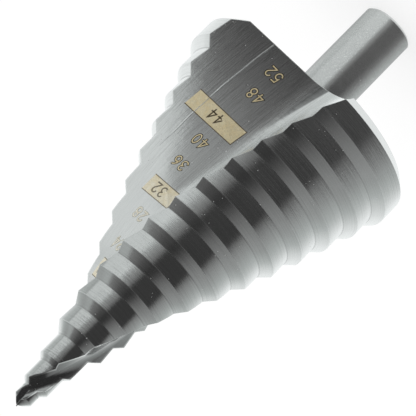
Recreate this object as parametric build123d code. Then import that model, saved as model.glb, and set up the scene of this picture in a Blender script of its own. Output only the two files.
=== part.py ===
from build123d import *
import os
from math import cos, degrees, log, radians, sin, tan

# A two-flute step drill for sheet metal, ground from one bar of high speed steel.
# It stands on the end of its shank: the origin is the middle of that end, +Z runs along the
# axis to the point, and the flute with the face that carries the size marks opens towards -Y.
# Millimetres throughout.  "Depth" means distance back from the point, along the axis.

# ---- driving dimensions ----
OVERALL_LENGTH = 108.8       # point to shank end
SHANK_DIAMETER = 11.2        # plain round shank for a three-jaw chuck
SHANK_END_CHAMFER = 0.5

POINT_DIAMETER = 4.0         # smallest step, which carries the point
PILOT_DIAMETER = 6.0         # second step
FIRST_STEP_DIAMETER = 8.0    # from here every step is STEP_RISE larger than the one before
LARGEST_DIAMETER = 52.0
STEP_RISE = 4.0              # on the diameter

POINT_ANGLE = 90.0           # included angle of the point
POINT_LENGTH = 4.5           # point to the first chamfer
PILOT_LENGTH = 5.5           # first chamfer to the second
STEP_LENGTH = 6.0            # each chamfer to the next
CHAMFER_ANGLE = 45.0         # of each step's cutting cone, from the axis
LAST_LAND_LENGTH = 4.5       # cylinder of the largest step
BACK_CHAMFER = 2.0           # 45 degree chamfer behind the largest step

FLUTE_COUNT = 2
HELIX_ANGLE = 20.5           # right hand, the same all the way up the cone
HELIX_CONE_TIP = 2.0         # how far past the point the helix's own cone comes to nothing
FLUTE_AZIMUTH = -85.0        # where the flute's flat face looks, at the back of the head
# The flute's section is a flat face with a hooked root that ends in the cutting edge.
FACE_OFFSET = (0.6, 14.8)    # axis to flat face: at the point, and at the back of the head
ROOT_SHIFT = (0.6, 2.8)      # how far the flat face stops short of the foot of that offset
ROOT_RADIUS = (2.0, 9.7)     # radius of the hooked root
HOOK_SWEEP = 125.0           # arc of the hook, which ends clear of the bar
SECTION_TWIST = 11.0         # most that the flute turns between two sections of its cutter

GASH_AZIMUTH = -91.0         # where the floor of the web thinning looks
GASH_OPENING = 100.0         # angle between its floor and its wall
GASH_CLIMB_ANGLE = 24.3      # of its floor, from the axis
GASH_DEPTH = 1.1             # depth at which its floor crosses the axis
GASH_WEB = 0.12              # half the web that its wall leaves at the point

CLEARANCE = 3.0              # how far cutters reach past what they cut


def height(depth):
    """Z of a place that lies this far back from the point."""
    return OVERALL_LENGTH - depth


def step_diameters():
    """Diameters of the steps from the point back."""
    count = round((LARGEST_DIAMETER - FIRST_STEP_DIAMETER) / STEP_RISE)
    regular = [FIRST_STEP_DIAMETER + STEP_RISE * i for i in range(count + 1)]
    return [POINT_DIAMETER, PILOT_DIAMETER] + regular


def head_outline():
    """Half section of the stepped head as (radius, depth) pairs, and its length."""
    diameters = step_diameters()
    lengths = [POINT_LENGTH, PILOT_LENGTH] + [STEP_LENGTH] * (len(diameters) - 3)
    cone = POINT_DIAMETER / 2 / tan(radians(POINT_ANGLE / 2))
    outline = [(0, 0), (POINT_DIAMETER / 2, cone)]
    depth = 0
    for length, small, large in zip(lengths, diameters, diameters[1:]):
        depth += length
        rise = (large - small) / 2
        outline.append((small / 2, depth))
        outline.append((large / 2, depth + rise / tan(radians(CHAMFER_ANGLE))))
    land_end = outline[-1][1] + LAST_LAND_LENGTH
    back = land_end + BACK_CHAMFER
    outline.append((LARGEST_DIAMETER / 2, land_end))
    outline.append((LARGEST_DIAMETER / 2 - BACK_CHAMFER, back))
    return outline, back


def make_blank():
    """The bar as turned: point, steps, back face and shank, before any flute is ground."""
    outline, back = head_outline()
    shank = SHANK_DIAMETER / 2
    outline += [
        (shank, back),
        (shank, OVERALL_LENGTH - SHANK_END_CHAMFER),
        (shank - SHANK_END_CHAMFER, OVERALL_LENGTH),
        (0, OVERALL_LENGTH),
    ]
    points = [(radius, height(depth)) for radius, depth in outline]
    half_section = Plane.XZ * make_face(Polyline(*points, close=True))
    return revolve(half_section, Axis.Z)


def flute_azimuth(depth, head_length):
    """Direction of the flute's flat face at this depth, for a helix of constant angle on a cone."""
    taper = STEP_RISE / 2 / STEP_LENGTH
    turns_per_fold = tan(radians(HELIX_ANGLE)) / taper
    fold = log((head_length + HELIX_CONE_TIP) / (depth + HELIX_CONE_TIP))
    return FLUTE_AZIMUTH + degrees(turns_per_fold * fold)


def flute_section(depth, head_length):
    """Section of the flute's cutter at this depth, wide enough to clear the bar on the outside."""
    along = depth / head_length
    offset, shift, radius = (
        at_point + (at_back - at_point) * along
        for at_point, at_back in (FACE_OFFSET, ROOT_SHIFT, ROOT_RADIUS)
    )
    reach = LARGEST_DIAMETER / 2 * max(along, 0) + CLEARANCE
    plane = Plane(
        origin=(0, 0, height(depth)),
        x_dir=Vector(1, 0, 0).rotate(Axis.Z, flute_azimuth(depth, head_length)),
        z_dir=(0, 0, 1),
    )

    def on_hook(sweep):
        turn = radians(sweep)
        return (offset + radius * (1 - cos(turn)), shift - radius * sin(turn))

    root, hook_end = on_hook(0), on_hook(HOOK_SWEEP)
    outside = Polyline(root, (offset, shift + reach), (offset + reach, shift + reach), hook_end)
    hook = ThreePointArc(hook_end, on_hook(HOOK_SWEEP / 2), root)
    return plane * make_face(outside + hook)


def make_flute_cutter():
    """One flute's cutter: sections set closer where the helix turns faster, near the point."""
    head_length = head_outline()[1]
    first, last = -HELIX_CONE_TIP / 2, head_length + CLEARANCE
    twist = flute_azimuth(first, head_length) - flute_azimuth(last, head_length)
    spans = int(twist / SECTION_TWIST) + 1
    growth = ((last + HELIX_CONE_TIP) / (first + HELIX_CONE_TIP)) ** (1 / spans)
    depths = [(first + HELIX_CONE_TIP) * growth**i - HELIX_CONE_TIP for i in range(spans + 1)]
    return loft([flute_section(depth, head_length) for depth in depths])


def make_gash_cutter():
    """One web thinning: a vee across the point, whose floor climbs out to the pilot's surface."""
    reach = PILOT_DIAMETER + CLEARANCE
    climb = reach / tan(radians(GASH_CLIMB_ANGLE))
    side = [
        (-reach, height(GASH_DEPTH - climb)),
        (reach, height(GASH_DEPTH + climb)),
        (reach, height(GASH_DEPTH - climb)),
    ]
    below_floor = extrude(Plane.XZ * make_face(Polyline(*side, close=True)), reach, both=True)
    one_side = (Align.CENTER, Align.MIN, Align.CENTER)
    beyond_wall = Pos(0, GASH_WEB, 0) * Box(4 * reach, 2 * reach, 4 * OVERALL_LENGTH, align=one_side)
    beyond_wall = Rot(0, 0, GASH_OPENING - 90) * beyond_wall
    return Rot(0, 0, GASH_AZIMUTH) * (below_floor & beyond_wall)


def make_step_drill():
    """The finished drill."""
    drill = make_blank()
    for cutter in (make_flute_cutter(), make_gash_cutter()):
        drill -= [Rot(0, 0, 360 / FLUTE_COUNT * i) * cutter for i in range(FLUTE_COUNT)]
    return drill


step_drill = make_step_drill()
step_drill.label = "step_drill"

os.makedirs("parts", exist_ok=True)
export_step(step_drill, "parts/step_drill.step")
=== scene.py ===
"""Looks for the step drill: ground steel, laser marks on a flute's flat face, studio and camera."""

import math
from types import SimpleNamespace

import bmesh
import bpy
from mathutils import Matrix, Vector
from mathutils.bvhtree import BVHTree


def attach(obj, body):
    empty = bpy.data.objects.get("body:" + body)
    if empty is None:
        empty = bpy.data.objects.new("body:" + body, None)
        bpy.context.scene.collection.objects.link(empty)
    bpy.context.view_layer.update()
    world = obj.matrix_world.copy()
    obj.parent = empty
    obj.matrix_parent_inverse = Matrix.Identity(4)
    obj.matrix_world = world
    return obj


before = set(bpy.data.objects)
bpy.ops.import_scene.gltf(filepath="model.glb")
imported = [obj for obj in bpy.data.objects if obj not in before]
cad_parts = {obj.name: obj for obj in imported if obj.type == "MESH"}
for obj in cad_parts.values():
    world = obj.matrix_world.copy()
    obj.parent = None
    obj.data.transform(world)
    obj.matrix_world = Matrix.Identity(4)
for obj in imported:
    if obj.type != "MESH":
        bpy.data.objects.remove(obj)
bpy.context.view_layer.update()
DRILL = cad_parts["step_drill"]

MM = 0.001

# ---- the drill's own form, in millimetres and degrees, as its source has it ----
# Depth is measured back from the point.
LENGTH = 108.8               # point to shank end
HEAD_LENGTH = 84.5           # point to the flat back of the head
POINT_RADIUS = 2.0           # smallest step; the point's cone has the radius of its depth
SMALL_CHAMFERS = (4.5, 10.0)     # depths where the radius grows by 1 mm
FIRST_CHAMFER = 16.0         # depth where the even row of steps begins
STEP_LENGTH = 6.0            # each chamfer to the next
CHAMFER_LENGTH = 2.0         # of a step's 45 degree cutting cone, so the radius grows as much
HEAD_RADIUS = 26.0
BACK_CHAMFER = 82.5          # depth where the chamfer behind the largest step begins
HELIX_ANGLE = 20.5
HELIX_CONE_TIP = 2.0         # how far past the point the helix's own cone comes to nothing
TAPER = 1 / 3                # growth of the head's radius per length
FLUTE_AZIMUTH = -85.0        # where the flat face looks at the back of the head
FACE_OFFSET = (0.6, 14.8)    # axis to flat face: at the point, at the back of the head

TWIST = math.tan(math.radians(HELIX_ANGLE)) / TAPER      # radians, as the depth grows e-fold
FACE_SLOPE = (FACE_OFFSET[1] - FACE_OFFSET[0]) / HEAD_LENGTH


def face_azimuth(depth):
    """Direction in which the marked flute's flat face looks at this depth, in radians."""
    fold = math.log((HEAD_LENGTH + HELIX_CONE_TIP) / (depth + HELIX_CONE_TIP))
    return math.radians(FLUTE_AZIMUTH) + TWIST * fold


def on_face(depth, foot):
    """A point of the flat face, in metres, and the way out of the steel there. Foot is how far it
    lies from the foot of the perpendicular from the axis, along the face towards the heel."""
    azimuth = face_azimuth(depth)
    ahead = Vector((math.cos(azimuth), math.sin(azimuth), 0))
    aside = Vector((-math.sin(azimuth), math.cos(azimuth), 0))
    offset = FACE_OFFSET[0] + FACE_SLOPE * depth
    return (ahead * offset + aside * foot + Vector((0, 0, LENGTH - depth))) * MM, ahead


bpy.context.scene.view_settings.view_transform = "Standard"


# ---- node helper ----
def grey(value):
    return (value, value, value, 1)


class Nodes:
    """Builds a node tree from plain calls. A value is a socket or a constant."""

    def __init__(self, tree):
        self.tree = tree
        tree.nodes.clear()

    def add(self, kind, inputs=None, **settings):
        node = self.tree.nodes.new(kind)
        for key, value in settings.items():
            setattr(node, key, value)
        for key, value in (inputs or {}).items():
            self.put(node.inputs[key], value)
        return node

    def put(self, socket, value):
        if isinstance(value, bpy.types.NodeSocket):
            self.tree.links.new(value, socket)
        else:
            socket.default_value = value

    def math(self, operation, *values, clamp=False):
        node = self.add("ShaderNodeMath", operation=operation, use_clamp=clamp)
        for socket, value in zip(node.inputs, values):
            self.put(socket, value)
        return node.outputs[0]

    def chain(self, operation, values):
        result = values[0]
        for value in values[1:]:
            result = self.math(operation, result, value)
        return result

    def plus(self, *values):
        return self.chain("ADD", values)

    def minus(self, value, less):
        return self.math("SUBTRACT", value, less)

    def times(self, *values):
        return self.chain("MULTIPLY", values)

    def over(self, value, divisor):
        return self.math("DIVIDE", value, divisor)

    def line(self, value, slope, offset):
        """value * slope + offset"""
        return self.math("MULTIPLY_ADD", value, slope, offset)

    def dot(self, vector, fixed):
        node = self.add("ShaderNodeVectorMath", {0: vector}, operation="DOT_PRODUCT")
        node.inputs[1].default_value = fixed
        return node.outputs["Value"]

    def combine(self, x, y, z):
        return self.add("ShaderNodeCombineXYZ", {0: x, 1: y, 2: z}).outputs[0]

    def step(self, value, low, high):
        """0 below low, 1 above high, smooth between. With low above high it falls instead."""
        node = self.add("ShaderNodeMapRange", {"Value": value}, interpolation_type="SMOOTHSTEP")
        node.inputs["From Min"].default_value = low
        node.inputs["From Max"].default_value = high
        return node.outputs["Result"]

    def ramp(self, value, stops):
        """Colour by value, from stops of (value, grey tone or colour)."""
        node = self.add("ShaderNodeValToRGB", {"Fac": value})
        elements = node.color_ramp.elements
        while len(elements) < len(stops):
            elements.new(0.5)
        for element, (position, colour) in zip(elements, stops):
            element.position = position
            element.color = colour if hasattr(colour, "__len__") else grey(colour)
        return node.outputs["Color"]

    def mix(self, factor, a, b, blend="MIX"):
        """Colour a where factor is 0, b where it is 1, or b blended onto a."""
        node = self.add("ShaderNodeMix", data_type="RGBA", blend_type=blend)
        return self.mixed(node, "RGBA", factor, a, b)

    def blend(self, factor, a, b):
        """Vector a where factor is 0, b where it is 1."""
        return self.mixed(self.add("ShaderNodeMix", data_type="VECTOR"), "VECTOR", factor, a, b)

    def mixed(self, node, kind, factor, a, b):
        self.put(node.inputs["Factor"], factor)
        for name, value in (("A", a), ("B", b)):
            self.put([s for s in node.inputs if s.name == name and s.type == kind][0], value)
        return [s for s in node.outputs if s.type == kind][0]

    def noise(self, vector, scale, detail, roughness):
        node = self.add("ShaderNodeTexNoise", {"Vector": vector})
        node.inputs["Scale"].default_value = scale
        node.inputs["Detail"].default_value = detail
        node.inputs["Roughness"].default_value = roughness
        return node.outputs["Fac"]

    def bump(self, height, strength, distance, **inputs):
        """Distance is in metres."""
        node = self.add("ShaderNodeBump", {"Height": height, **inputs})
        node.inputs["Strength"].default_value = strength
        node.inputs["Distance"].default_value = distance
        return node.outputs[0]


# ---- camera ----
CAMERA_AIM = Vector((0.41, -4.14, 54.84)) * MM
CAMERA_DISTANCE = 0.6068
CAMERA_ELEVATION = math.radians(16.08)
CAMERA_ROLL = math.radians(135.47)
FOCAL_LENGTH = 268.5
SENSOR_WIDTH = 36.0


def make_camera():
    data = bpy.data.cameras.new("camera")
    data.lens = FOCAL_LENGTH
    data.sensor_width = SENSOR_WIDTH
    data.clip_start = 0.05
    data.clip_end = 20.0
    camera = bpy.data.objects.new("camera", data)
    bpy.context.scene.collection.objects.link(camera)
    back = Vector((0, -math.cos(CAMERA_ELEVATION), math.sin(CAMERA_ELEVATION)))
    upright = (-back).to_track_quat("-Z", "Y").to_matrix()
    turn = upright @ Matrix.Rotation(-CAMERA_ROLL, 3, "Z")
    camera.matrix_world = Matrix.Translation(CAMERA_AIM + back * CAMERA_DISTANCE) @ turn.to_4x4()
    bpy.context.scene.camera = camera


# ---- studio ----
RIGHT = (1, 0, 0)
UP = (0, 0, 1)
BEHIND = (0.0, 0.961, -0.277)            # past the drill, as seen from the photographer's side
DARK_SIDE = (-0.451, -0.849, 0.276)      # towards the photographer and a little left
DARK_TOP = (0.0, -0.238, 0.971)
WALL_EDGE = (0.067, 0.564, 0.823)        # square to the plane of the pale wall's lower edge
SOFTBOX_EDGE = (-0.072, 0.783, -0.618)   # square to the plane of the softbox's edge

# DARK_SIDE to SOFTBOX_EDGE, the tones below and the lamps were chosen from medians of the photo's
# own tones, sorted by the direction that the steel reflects, and then adjusted by comparing renders
# with the photo. They are no record of the real studio.

# tones by the angle from an axis, as a share of half a turn
DARK_SIDE_TONES = [
    (0.000, 0.046),
    (0.234, 0.048),
    (0.262, 0.19),
    (0.295, 0.28),
    (0.327, 0.33),
    (0.383, 0.40),
    (0.443, 0.48),
    (0.504, 0.58),
    (0.566, 0.72),
    (0.630, 0.88),
    (0.700, 1.00),
]
DARK_TOP_TONES = [
    (0.00, 0.034),
    (0.04, 0.040),
    (0.075, 0.085),
    (0.12, 0.155),
    (0.20, 0.25),
    (0.25, 0.31),
    (0.33, 0.40),
    (0.40, 0.56),
    (0.46, 0.80),
    (0.50, 1.00),
]
# tones by how far a direction points right
DARKEST_TONES = [(0.0, 0.03), (0.1, 0.06), (0.26, 0.08), (0.5, 0.19), (0.65, 0.34)]
WALL_TONES = [(0.42, 0.26), (0.52, 0.53), (0.66, 0.72), (0.87, 0.78)]
BAND_TONES = [(0.25, 0.078), (0.44, 0.16), (0.56, 0.212), (0.70, 0.30), (0.80, 0.35)]
LOW_BAND_TONES = [
    (0.40, 0.08),
    (0.56, 0.10),
    (0.67, 0.14),
    (0.76, 0.19),
    (0.85, 0.27),
    (0.92, 0.38),
]
# tones by how far a direction points behind: right of the drill, at three heights, and on the wall
SIDE_TONES = [(0.0, 0.40), (0.2, 0.42), (0.4, 0.53), (0.5, 0.62), (0.62, 0.74), (0.70, 1.0)]
LOWER_SIDE_TONES = [
    (0.0, 0.40),
    (0.2, 0.42),
    (0.4, 0.53),
    (0.5, 0.58),
    (0.61, 0.65),
    (0.76, 0.84),
    (0.88, 1.0),
]
LOWEST_SIDE_TONES = [(0.0, 0.50), (0.2, 0.54), (0.4, 0.72), (0.5, 0.84), (0.62, 1.0)]
FAR_WALL_TONES = [(0.40, 0.0), (0.48, 0.68), (0.64, 0.86), (0.72, 0.97)]
# the same, as a share from straight in front to straight behind
TABLE_TONES = [
    (0.30, 0.10),
    (0.40, 0.11),
    (0.47, 0.16),
    (0.55, 0.28),
    (0.64, 0.39),
    (0.82, 0.54),
    (0.92, 0.73),
    (0.98, 0.72),
]
TABLE_RIGHT_TONE = 0.65
SOFTBOX_TONE = 0.72
# soft round lamps that the metal reflects: direction, cosines of the rim and the full glow, tone
LAMPS = [
    ((0.970, 0.171, 0.174), 0.90, 0.97, 0.80),
    ((0.639, 0.067, 0.766), 0.978, 0.9915, 0.46),
]
# faint tint of the light, by tone
TINTS = [(0.1, (1, 1, 1, 1)), (0.5, (0.94, 1.0, 0.985, 1)), (0.95, (0.97, 1.0, 1.0, 1))]


def make_world():
    """White all round. The metal sees it behind the drill, and in front of it the studio's dark
    side, which is the photographer's, with a softbox low on the right and two round lamps."""
    world = bpy.data.worlds.new("studio")
    world.use_nodes = True
    bpy.context.scene.world = world
    n = Nodes(world.node_tree)
    direction = n.add("ShaderNodeTexCoord").outputs["Generated"]
    rightward = n.dot(direction, RIGHT)
    upward = n.dot(direction, UP)
    behind = n.dot(direction, BEHIND)
    in_front = n.step(behind, 0.06, -0.02)
    not_in_front = n.step(behind, -0.02, 0.06)

    def around(axis, tones):
        angle = n.over(n.math("ARCCOSINE", n.dot(direction, axis)), math.pi)
        return n.ramp(angle, tones)

    dark_side = around(DARK_SIDE, DARK_SIDE_TONES)
    tone = n.mix(1.0, dark_side, around(DARK_TOP, DARK_TOP_TONES), "DARKEN")
    tone = n.mix(1.0, tone, n.ramp(rightward, DARKEST_TONES), "LIGHTEN")

    # right of the drill and behind it: the chamfers see it high up, the small steps' cylinders low
    # down and those of the large steps lowest
    lower = n.ramp(behind, LOWER_SIDE_TONES)
    lower = n.mix(n.step(upward, -0.25, -0.31), lower, n.ramp(behind, LOWEST_SIDE_TONES))
    side = n.mix(n.step(upward, -0.10, -0.16), n.ramp(behind, SIDE_TONES), lower)
    tone = n.mix(n.times(n.step(rightward, 0.25, 0.40), not_in_front), tone, side)

    # pale wall above a slanting edge, and the duller band under it
    over_edge = n.step(n.dot(direction, WALL_EDGE), -0.008, 0.027)
    wall = n.mix(n.step(behind, 0.0, 0.2), n.ramp(rightward, WALL_TONES), grey(0.0))
    wall = n.mix(1.0, wall, n.ramp(behind, FAR_WALL_TONES), "LIGHTEN")
    on_wall = n.times(
        over_edge,
        n.step(upward, 0.62, 0.50),
        n.step(upward, -0.12, -0.06),
        n.step(rightward, 0.40, 0.50),
    )
    tone = n.mix(on_wall, tone, n.mix(1.0, tone, wall, "LIGHTEN"))
    in_band = n.times(
        n.minus(1.0, over_edge),
        n.step(rightward, 0.12, 0.24),
        n.step(upward, -0.21, -0.18),
    )
    band = n.ramp(rightward, BAND_TONES)
    tone = n.mix(in_band, tone, n.mix(1.0, tone, band, "DARKEN"))
    in_low_band = n.times(in_band, n.step(upward, 0.10, 0.0))
    low_band = n.ramp(rightward, LOW_BAND_TONES)
    tone = n.mix(in_low_band, tone, n.mix(1.0, tone, low_band, "DARKEN"))

    # the table's edge, low down: only the shank sees it
    low = n.times(
        n.step(upward, -0.322, -0.338),
        n.step(upward, -0.42, -0.38),
        n.step(behind, 0.97, 0.86),
    )
    table = n.ramp(n.line(behind, 0.5, 0.5), TABLE_TONES)
    tone = n.mix(n.times(low, n.step(rightward, 0.0, -0.2)), tone, table)
    table_right = n.times(low, n.step(rightward, 0.1, 0.3), not_in_front)
    tone = n.mix(table_right, tone, grey(TABLE_RIGHT_TONE))

    # softbox low on the right, in front
    softbox = n.times(
        n.step(n.dot(direction, SOFTBOX_EDGE), -0.54, -0.505),
        in_front,
        n.step(rightward, 0.25, 0.36),
        n.step(upward, -0.18, -0.21),
    )
    tone = n.mix(softbox, tone, grey(SOFTBOX_TONE))
    for towards, rim, full, value in LAMPS:
        tone = n.mix(n.step(n.dot(direction, towards), rim, full), tone, grey(value))

    straight_down = n.step(upward, -0.80, -0.95)
    tone = n.mix(straight_down, tone, grey(1.0))
    tone = n.mix(1.0, tone, n.ramp(tone, TINTS), "MULTIPLY")

    # the camera and dull surfaces see plain white
    reflected = n.add("ShaderNodeLightPath").outputs["Is Glossy Ray"]
    tone = n.mix(reflected, grey(1.0), tone)
    background = n.add("ShaderNodeBackground", {"Color": tone, "Strength": 1.0})
    output = n.add("ShaderNodeOutputWorld")
    n.put(output.inputs["Surface"], background.outputs[0])


FLOOR_RADIUS = 3.0           # metres
FLOOR_DROP = 0.0001          # metres below the shank's end
FLOOR_TONE = 0.30
FLOOR_LIFT = 0.72            # light added for the camera, which brings the lit floor up to white


def make_floor():
    """White paper. The camera sees it lit up to white, with the drill's soft shadow left on it."""
    mesh = bpy.data.meshes.new("floor")
    builder = bmesh.new()
    bmesh.ops.create_circle(builder, cap_ends=True, segments=96, radius=FLOOR_RADIUS)
    builder.to_mesh(mesh)
    builder.free()
    floor = bpy.data.objects.new("floor", mesh)
    bpy.context.scene.collection.objects.link(floor)
    floor.location.z = -FLOOR_DROP
    material = bpy.data.materials.new("floor_paper")
    material.use_nodes = True
    n = Nodes(material.node_tree)
    paper = n.add("ShaderNodeBsdfDiffuse", {"Color": grey(FLOOR_TONE)})
    lift = n.times(n.add("ShaderNodeLightPath").outputs["Is Camera Ray"], FLOOR_LIFT)
    glow = n.add("ShaderNodeEmission", {"Color": grey(1.0), "Strength": lift})
    both = n.add("ShaderNodeAddShader", {0: paper.outputs[0], 1: glow.outputs[0]})
    output = n.add("ShaderNodeOutputMaterial")
    n.put(output.inputs["Surface"], both.outputs[0])
    mesh.materials.append(material)
    floor.visible_glossy = False


# ---- steel ----
FLUTE_STEEL = (0.95, 0.955, 0.95, 1)
DULL_STEEL = (0.70, 0.705, 0.70, 1)
# bright flecks on the shank, and the painted highlights on the flutes
FLECK_AND_HIGHLIGHT_STEEL = (0.97, 0.975, 0.97, 1)
SCRATCH = (0.95, 0.96, 0.955, 1)
# next: outer corners, partly wear and partly painted highlight; then three painted shades
WORN_EDGE_HIGHLIGHT = (0.92, 0.93, 0.925, 1)
CREASE_SHADE = 0.14
DULL_TIP_SHADE = 0.30
CORNER_SHADE = 0.12
EDGE_RADIUS = 0.00013        # rounding of the edges in the shading, in metres
LINE_HEIGHT = 0.000022       # of the grinding lines, in metres


def drill_fields(n):
    """Where a point of the drill lies, in millimetres, and masks from 0 to 1 of its surfaces."""
    at = SimpleNamespace()
    metres = n.add("ShaderNodeTexCoord").outputs["Object"]
    scaled = n.add("ShaderNodeVectorMath", {0: metres}, operation="SCALE")
    scaled.inputs["Scale"].default_value = 1 / MM
    at.place = scaled.outputs[0]
    at.x, at.y, at.z = n.add("ShaderNodeSeparateXYZ", {0: at.place}).outputs
    at.depth = n.minus(LENGTH, at.z)
    at.radius = n.math("SQRT", n.plus(n.times(at.x, at.x), n.times(at.y, at.y)))

    # the turned profile's radius at this depth, to tell turned surfaces from ground flutes
    tip = n.plus(*(n.math("SUBTRACT", at.depth, start, clamp=True) for start in SMALL_CHAMFERS))
    tip = n.plus(n.math("MINIMUM", at.depth, POINT_RADIUS), tip)
    at.past = n.minus(at.depth, FIRST_CHAMFER)
    count = n.math("FLOOR", n.over(at.past, STEP_LENGTH))
    within = n.math("MINIMUM", n.minus(at.past, n.times(count, STEP_LENGTH)), CHAMFER_LENGTH)
    steps = n.math("MAXIMUM", n.plus(n.times(count, CHAMFER_LENGTH), within), 0.0)
    back = n.minus(HEAD_RADIUS, n.math("MAXIMUM", n.minus(at.depth, BACK_CHAMFER), 0.0))
    profile = n.math("MINIMUM", n.plus(tip, steps), back)
    at.inside = n.minus(profile, at.radius)
    at.on_shank = n.step(at.depth, HEAD_LENGTH - 0.10, HEAD_LENGTH - 0.02)
    at.turned = n.math("MAXIMUM", n.step(at.inside, 0.10, 0.03), at.on_shank)
    at.in_flute = n.minus(1.0, at.turned)

    # the flute's own axes, which turn with it: above its flat face, and aside along the face
    at.reach = n.plus(n.math("MAXIMUM", at.depth, 0.0), HELIX_CONE_TIP)
    start = math.radians(FLUTE_AZIMUTH) + TWIST * math.log(HEAD_LENGTH + HELIX_CONE_TIP)
    turn = n.minus(start, n.times(n.math("LOGARITHM", at.reach, math.e), TWIST))
    cosine, sine = n.math("COSINE", turn), n.math("SINE", turn)
    ahead = n.plus(n.times(at.x, cosine), n.times(at.y, sine))
    aside = n.minus(n.times(at.y, cosine), n.times(at.x, sine))
    at.side = n.math("SIGN", ahead)      # 1 on the marked flute's side, -1 on the bare one's
    at.aside = n.times(aside, at.side)
    at.above = n.minus(n.math("ABSOLUTE", ahead), n.line(at.depth, FACE_SLOPE, FACE_OFFSET[0]))
    return at


def add_grain(n, at):
    """Adds the noises. Their lines run round the axis where the steel is turned, and along the
    helix in the flutes."""
    across = n.combine(at.aside, at.above, n.times(at.z, 0.03))
    ring = n.combine(
        n.plus(at.z, n.times(n.over(at.x, at.radius), 0.10)),
        n.times(n.over(at.y, at.radius), 0.10),
        at.radius,
    )
    where = n.blend(at.turned, across, ring)
    at.lines = n.noise(where, 4.0, 5.0, 0.72)
    at.fine_lines = n.noise(where, 14.0, 2.0, 0.6)
    at.scratches = n.step(n.noise(where, 1.7, 6.0, 0.85), 0.66, 0.70)
    at.grain = n.noise(at.place, 1.3, 3.0, 0.55)
    at.cloud = n.noise(at.place, 0.12, 3.0, 0.6)
    # the flutes are ground finer towards the point
    at.finer = n.times(n.step(at.depth, 62.0, 44.0), at.in_flute)
    cell = n.add("ShaderNodeTexVoronoi", {"Vector": at.place})
    cell.inputs["Scale"].default_value = 0.75
    at.dust = n.times(n.step(cell.outputs["Distance"], 0.10, 0.06), n.step(at.cloud, 0.46, 0.54))


def add_corners(n, at):
    """Adds masks of the steps' corners: the inner ones, where a chamfer begins, and the outer."""
    on_steps = n.step(at.depth, 80.2, 80.0)
    half = STEP_LENGTH / 2
    inner = n.step(n.math("PINGPONG", at.past, half), 0.20, 0.06)
    at.inner_corner = n.times(inner, at.turned, on_steps)
    past_chamfer = n.minus(at.past, CHAMFER_LENGTH)
    outer = n.step(n.math("PINGPONG", past_chamfer, half), 0.12, 0.04)
    at.outer_corner = n.times(outer, at.turned, on_steps)


def steel_normal(n, at):
    height = n.plus(at.lines, n.times(at.fine_lines, 0.35))
    height = n.plus(height, n.times(at.grain, 0.5))
    calm = n.plus(n.times(at.turned, 0.60), n.times(at.on_shank, 0.25))
    height = n.times(height, n.minus(1.0, calm))
    height = n.times(height, n.line(at.finer, -0.5, 1.0))
    rounded = n.add("ShaderNodeBevel", samples=4)
    rounded.inputs["Radius"].default_value = EDGE_RADIUS
    return n.bump(height, 1.0, LINE_HEIGHT, Normal=rounded.outputs[0])


def steel_colour(n, at):
    """Slow tints, grinding lines, scratches and flecks, then painted highlights and painted shade.
    """
    tone = n.ramp(at.cloud, [(0.3, (0.74, 0.745, 0.74, 1)), (0.7, (0.79, 0.795, 0.79, 1))])
    tone = n.mix(n.times(at.in_flute, 0.35), tone, FLUTE_STEEL)
    tone = n.mix(n.times(at.finer, 0.5), tone, DULL_STEEL)
    streaks = n.ramp(at.lines, [(0.34, 0.74), (0.50, 0.955), (0.62, 1.0)])
    streaked = n.line(at.turned, -0.5, n.line(at.on_shank, -0.4, 1.0))
    streaked = n.times(streaked, n.line(n.step(at.above, 0.3, 0.7), -0.5, 1.0))
    streaked = n.times(streaked, n.line(at.finer, -0.6, 1.0))
    tone = n.mix(streaked, tone, streaks, "MULTIPLY")
    satin = n.ramp(n.noise(at.place, 5.0, 2.0, 0.7), [(0.35, 0.88), (0.65, 1.0)])
    tone = n.mix(n.line(at.on_shank, 0.7, 0.3), tone, satin, "MULTIPLY")
    tone = n.mix(n.times(at.scratches, 0.5), tone, SCRATCH)
    flecks = n.times(n.step(n.noise(at.place, 3.2, 2.0, 0.7), 0.60, 0.68), at.on_shank)
    tone = n.mix(n.times(flecks, 0.7), tone, FLECK_AND_HIGHLIGHT_STEEL)

    # a painted highlight makes the hooked root bright by the cutting edge; painted shade darkens
    # the marked flute's root at the back of the head, from the crease up to a rim that climbs with
    # the depth
    crest_highlight = n.times(n.step(at.above, 1.6, 2.6), at.in_flute)
    tone = n.mix(n.times(crest_highlight, 0.80), tone, FLECK_AND_HIGHLIGHT_STEEL)
    rim = n.line(at.depth, 0.055, -3.45)
    crease_shade = n.times(
        n.step(at.above, 0.08, 0.58),
        n.step(n.minus(at.above, rim), 0.12, -0.12),
        n.step(at.depth, 64.0, 84.0),
        at.in_flute,
        n.step(at.side, -0.5, 0.5),
    )
    # painted shade laid on the marked flute's root at the back of the head
    tone = n.mix(n.times(crease_shade, 0.80), tone, grey(CREASE_SHADE))

    # painted shade near the point, partly a duller grind; painted highlights along the flutes'
    # edges
    dull_point_shade = n.times(n.step(at.depth, 32.0, 26.0), at.in_flute, n.step(at.inside, 0.10, 0.40))
    tone = n.mix(n.times(dull_point_shade, 0.74), tone, grey(DULL_TIP_SHADE))
    # painted highlight along the flutes' edges, where they meet the turned steel
    margin = n.times(n.step(at.inside, 0.28, 0.10), at.in_flute)
    tone = n.mix(n.times(margin, 0.7), tone, FLECK_AND_HIGHLIGHT_STEEL)

    # painted shade in the steps' inner corners
    tone = n.mix(n.times(at.inner_corner, 0.16), tone, grey(CORNER_SHADE))
    # the steps' outer corners lighter, partly for wear and partly as a painted highlight
    return n.mix(n.times(at.outer_corner, 0.5), tone, WORN_EDGE_HIGHLIGHT)


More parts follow.
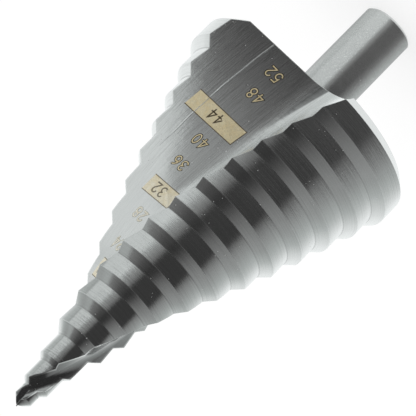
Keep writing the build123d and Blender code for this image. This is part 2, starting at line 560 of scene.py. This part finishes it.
def steel_roughness(n, at):
    rough = n.line(at.lines, 0.12, n.line(at.turned, -0.04, 0.08))
    rough = n.plus(rough, n.times(n.plus(at.inner_corner, at.outer_corner), 0.10))
    return n.plus(rough, n.times(at.on_shank, 0.06), n.times(at.dust, 0.3))


def steel_tangent(n, at):
    """Direction of the grinding lines."""
    radial = n.add("ShaderNodeTangent", direction_type="RADIAL", axis="Z").outputs[0]
    helical = n.combine(
        n.over(n.minus(n.times(at.y, -TWIST), at.x), at.reach),
        n.over(n.minus(n.times(at.x, TWIST), at.y), at.reach),
        1.0,
    )
    return n.blend(at.turned, helical, radial)


def make_steel():
    """Ground steel, brushed along its grinding lines."""
    material = bpy.data.materials.new("ground_steel")
    material.use_nodes = True
    n = Nodes(material.node_tree)
    at = drill_fields(n)
    add_grain(n, at)
    add_corners(n, at)
    metallic = n.minus(n.minus(1.0, n.times(at.on_shank, 0.10)), n.times(at.dust, 0.35))
    shader = n.add(
        "ShaderNodeBsdfPrincipled",
        {
            "Base Color": steel_colour(n, at),
            "Metallic": metallic,
            "Roughness": steel_roughness(n, at),
            "Specular Tint": n.mix(at.on_shank, grey(1.0), grey(0.6)),
            "Normal": steel_normal(n, at),
            "Tangent": steel_tangent(n, at),
        },
    )
    shader.inputs["Anisotropic"].default_value = 0.75
    output = n.add("ShaderNodeOutputMaterial")
    n.put(output.inputs["Surface"], shader.outputs[0])
    return material


# ---- marks on the flat face ----
def arc(centre_x, centre_y, radius_x, radius_y, begin, end, count=14):
    angles = [math.radians(begin + (end - begin) * i / count) for i in range(count + 1)]
    return [(centre_x + radius_x * math.cos(a), centre_y + radius_y * math.sin(a)) for a in angles]


# Strokes of each figure, in a cell CELL_WIDTH wide and 1 high: runs of (x, y), closed where they
# end as they begin.
FIGURES = {
    "0": [arc(0.30, 0.50, 0.25, 0.47, 0, 360, 28)],
    "2": [arc(0.29, 0.72, 0.24, 0.25, 165, -35) + [(0.04, 0.03), (0.57, 0.03)]],
    "3": [arc(0.27, 0.75, 0.22, 0.22, 155, -80) + arc(0.27, 0.27, 0.27, 0.25, 85, -155)],
    "4": [[(0.60, 0.27), (0.02, 0.27), (0.43, 0.97), (0.43, 0.00)]],
    "5": [[(0.52, 0.97), (0.14, 0.97), (0.08, 0.50)] + arc(0.28, 0.33, 0.27, 0.30, 125, -155)],
    "6": [arc(0.30, 0.30, 0.25, 0.27, 0, 360, 24), arc(0.56, 0.32, 0.51, 0.64, 105, 178, 10)],
    "8": [arc(0.30, 0.75, 0.21, 0.21, 0, 360, 22), arc(0.30, 0.27, 0.26, 0.26, 0, 360, 24)],
}
CELL_WIDTH = 0.6
# the rest is in millimetres
FIGURE_HEIGHT = 2.2
FIGURE_PITCH = 1.85
STROKE = 0.23                # width of a stroke on bare steel
BOX_STROKE = 0.28            # and of one in a box
EDGE = 0.14                  # dark rim that the laser leaves round a stroke
OUTLINE = 0.16               # width of a box's outline
# how far each layer stands above the steel, and how far all of them reach into it
RIM_LIFT, BOX_LIFT, OUTLINE_LIFT, STROKE_LIFT, BOX_STROKE_LIFT = 0.018, 0.022, 0.030, 0.036, 0.050
SUNK = -0.05
LONGEST_LEG = 0.35           # of a stroke, so that it follows the twisted face
LONGEST_CELL = 0.3           # of a box
RAY_START = 2                # how far above the face a search for the steel begins
# size, depth and foot of its middle, tilt in degrees, and its heat-tinted box, as (width, height,
# shift towards the heel), or None
MARKS = [
    ("52", 80.17, 7.53, 3, None),
    ("48", 74.78, 6.41, 3, None),
    ("44", 66.96, 8.27, 4, (13.1, 3.8, 0.0)),
    ("40", 61.61, 6.65, 5, None),
    ("36", 56.10, 6.25, 6, None),
    ("32", 49.75, 5.25, 6, (8.4, 3.6, -0.75)),
    ("28", 43.92, 4.74, 10, None),
    ("24", 37.15, 4.20, 11, None),
    ("20", 31.40, 3.30, 12, (5.0, 3.8, 0.0)),
]

surface = BVHTree.FromObject(DRILL, bpy.context.evaluated_depsgraph_get())


def place(depth, foot, lift):
    """The point of the steel at this depth and foot, raised by lift, all in millimetres."""
    point, out = on_face(depth, foot)
    hit, normal = surface.ray_cast(point + out * RAY_START * MM, -out)[:2]
    return hit + normal * lift * MM


def new_piece(name, material, builder):
    bmesh.ops.recalc_face_normals(builder, faces=builder.faces)
    mesh = bpy.data.meshes.new(name)
    builder.to_mesh(mesh)
    builder.free()
    piece = bpy.data.objects.new(name, mesh)
    bpy.context.scene.collection.objects.link(piece)
    mesh.materials.append(material)
    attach(piece, "root")


def sweep(builder, sections, closed):
    """Skins a row of cross sections, each a ring of points. An open row gets its ends capped."""
    rings = [[builder.verts.new(point) for point in section] for section in sections]
    pairs = list(zip(rings, rings[1:])) + ([(rings[-1], rings[0])] if closed else [])
    for one, two in pairs:
        for i in range(len(one)):
            j = (i + 1) % len(one)
            builder.faces.new((one[i], one[j], two[j], two[i]))
    if not closed:
        builder.faces.new(rings[0])
        builder.faces.new(rings[-1])


def stroke_sections(run, half, lift, to_face):
    """Cross sections of a flat stroke along a run of (x, y), with mitred corners and its sides
    sunk into the steel, and whether the run is closed."""
    least_cosine = 0.55          # keeps a sharp corner's mitre short
    end_share = 0.8              # of half the width, by which an open end reaches past its point
    closed = math.dist(run[0], run[-1]) < 1e-6
    points = [Vector(point) for point in (run[:-1] if closed else run)]
    sections = []
    for i, point in enumerate(points):
        before = points[i - 1] if closed or i else None
        after = points[(i + 1) % len(points)] if closed or i + 1 < len(points) else None
        ways = [w.normalized() for w in (before and point - before, after and after - point) if w]
        way = sum(ways, Vector((0, 0))).normalized()
        across = Vector((-way.y, way.x))
        spread = half / max(across.dot(Vector((-ways[0].y, ways[0].x))), least_cosine)
        if not closed and i in (0, len(points) - 1):
            point = point + way * half * (-1 if i == 0 else 1) * end_share
        left, right = point + across * spread, point - across * spread
        corners = ((left, lift), (right, lift), (right, SUNK), (left, SUNK))
        sections.append([to_face(corner, height) for corner, height in corners])
    return sections, closed


def patch(builder, width, height, shift, to_face):
    """A thin rectangle laid on the steel, in cells that follow it, with its skirts sunk."""
    columns, rows = math.ceil(width / LONGEST_CELL), math.ceil(height / LONGEST_CELL)

    def corner(i, j, lift):
        point = (shift + (i / columns - 0.5) * width, (j / rows - 0.5) * height)
        return builder.verts.new(to_face(point, lift))

    top = [[corner(i, j, BOX_LIFT) for j in range(rows + 1)] for i in range(columns + 1)]
    for i in range(columns):
        for j in range(rows):
            builder.faces.new((top[i][j], top[i + 1][j], top[i + 1][j + 1], top[i][j + 1]))
    border = [(i, 0) for i in range(columns)] + [(columns, j) for j in range(rows)]
    border += [(columns - i, rows) for i in range(columns)] + [(0, rows - j) for j in range(rows)]
    skirt = [corner(i, j, SUNK) for i, j in border]
    for k, (i, j) in enumerate(border):
        following = (k + 1) % len(border)
        i2, j2 = border[following]
        builder.faces.new((top[i2][j2], top[i][j], skirt[k], skirt[following]))
    builder.faces.new(skirt)


def split_run(run):
    """The run with its long legs divided."""
    points = [run[0]]
    for one, two in zip(run, run[1:]):
        count = max(1, math.ceil(math.dist(one, two) / LONGEST_LEG))
        points += [
            (one[0] + (two[0] - one[0]) * k / count, one[1] + (two[1] - one[1]) * k / count)
            for k in range(1, count + 1)
        ]
    return points


def mark_frame(depth, foot, tilt):
    """A function from a place on the mark, (x, y) from its middle, and a lift to a point."""
    cosine, sine = math.cos(math.radians(tilt)), math.sin(math.radians(tilt))

    def to_face(point, lift):
        x, y = point
        return place(depth - y * cosine + x * sine, foot + x * cosine + y * sine, lift)

    return to_face


def make_marks(materials):
    builders = {name: bmesh.new() for name in materials}

    def stroke(name, run, half, lift, to_face):
        sweep(builders[name], *stroke_sections(run, half, lift, to_face))

    for text, depth, foot, tilt, box in MARKS:
        to_face = mark_frame(depth, foot, tilt)
        margin = (FIGURE_PITCH - CELL_WIDTH * FIGURE_HEIGHT) / 2
        for i, figure in enumerate(text):
            left = (i - len(text) / 2) * FIGURE_PITCH + margin
            for run in FIGURES[figure]:
                run = [(left + x * FIGURE_HEIGHT, (y - 0.5) * FIGURE_HEIGHT) for x, y in run]
                run = split_run(run)
                if box:
                    stroke("dark", run, BOX_STROKE / 2, BOX_STROKE_LIFT, to_face)
                else:
                    stroke("bright", run, STROKE / 2, STROKE_LIFT, to_face)
                    stroke("rim", run, STROKE / 2 + EDGE, RIM_LIFT, to_face)
        if box:
            width, height, shift = box
            patch(builders["box"], width, height, shift, to_face)
            corners = [(1, 1), (-1, 1), (-1, -1), (1, -1)]
            outline = [(shift + x * width / 2, y * height / 2) for x, y in corners]
            stroke("dark", split_run(outline), OUTLINE / 2, OUTLINE_LIFT, to_face)
    for name, builder in builders.items():
        new_piece("mark_" + name, materials[name], builder)


FAINT_DEPTHS = (58, 46)      # where the marks turn faint towards the point
PIT_HEIGHT = 0.00002         # of the laser's fine pits, in metres


def mark_material(name, full, faint, metallic, roughness):
    """Steel coloured by the laser, fully at the back of the head and faintly near the point."""
    material = bpy.data.materials.new(name)
    material.use_nodes = True
    n = Nodes(material.node_tree)
    metres = n.add("ShaderNodeTexCoord").outputs["Object"]
    height = n.add("ShaderNodeSeparateXYZ", {0: metres}).outputs[2]
    fading = n.step(height, *((LENGTH - depth) * MM for depth in FAINT_DEPTHS))
    tone = n.mix(fading, (*full, 1), (*faint, 1))
    blotches = n.noise(metres, 900.0, 3.0, 0.65)
    blotches = n.ramp(blotches, [(0.35, (0.96, 0.91, 0.80, 1)), (0.65, 1.0)])
    grain = n.ramp(n.noise(metres, 5000.0, 2.0, 0.6), [(0.35, 0.82), (0.62, 1.0)])
    tone = n.mix(1.0, n.mix(1.0, tone, blotches, "MULTIPLY"), grain, "MULTIPLY")
    pitted = n.bump(n.noise(metres, 5000.0, 2.0, 0.5), 0.6, PIT_HEIGHT)
    shader = n.add("ShaderNodeBsdfPrincipled", {"Base Color": tone, "Normal": pitted})
    shader.inputs["Metallic"].default_value = metallic
    shader.inputs["Roughness"].default_value = roughness
    output = n.add("ShaderNodeOutputMaterial")
    n.put(output.inputs["Surface"], shader.outputs[0])
    return material


# ---- the line that two grinding passes leave on the flat face, in millimetres ----
RIDGE_FOOT = 12.35
RIDGE_DEPTHS = (84.3, 56.5)
RIDGE_SECTION = ((0.26, -0.02), (-0.17, 0.036), (-0.26, -0.02))     # along the face, above it
RIDGE_COUNT = 90             # stretches along it


def make_ridge(material):
    """It begins abruptly at the back of the head, wanders a little and dies away."""
    builder = bmesh.new()
    sections = []
    for i in range(RIDGE_COUNT + 1):
        share = i / RIDGE_COUNT
        depth = RIDGE_DEPTHS[0] + (RIDGE_DEPTHS[1] - RIDGE_DEPTHS[0]) * share
        fade = min(1.0, (1 - share) * 6 + 0.15, share * 40 + 0.5)
        foot = RIDGE_FOOT + 0.02 * math.sin(depth * 0.8) + 0.012 * math.sin(depth * 2.1)
        sections.append(
            [place(depth, foot + along * fade, above * fade) for along, above in RIDGE_SECTION]
        )
    sweep(builder, sections, False)
    new_piece("grinding_ridge", material, builder)


make_camera()
make_world()
make_floor()
steel = make_steel()
DRILL.data.materials.clear()
DRILL.data.materials.append(steel)
make_ridge(steel)
make_marks(
    {
        "bright": mark_material("laser_gold", (0.86, 0.75, 0.49), (1.0, 0.98, 0.90), 0.25, 0.4),
        "rim": mark_material("laser_rim", (0.04, 0.036, 0.030), (0.68, 0.69, 0.66), 0.8, 0.4),
        "box": mark_material("laser_tan", (0.90, 0.805, 0.56), (1.0, 0.955, 0.81), 0.35, 0.45),
        "dark": mark_material("laser_dark", (0.13, 0.105, 0.065), (0.33, 0.30, 0.24), 0.4, 0.45),
    }
)
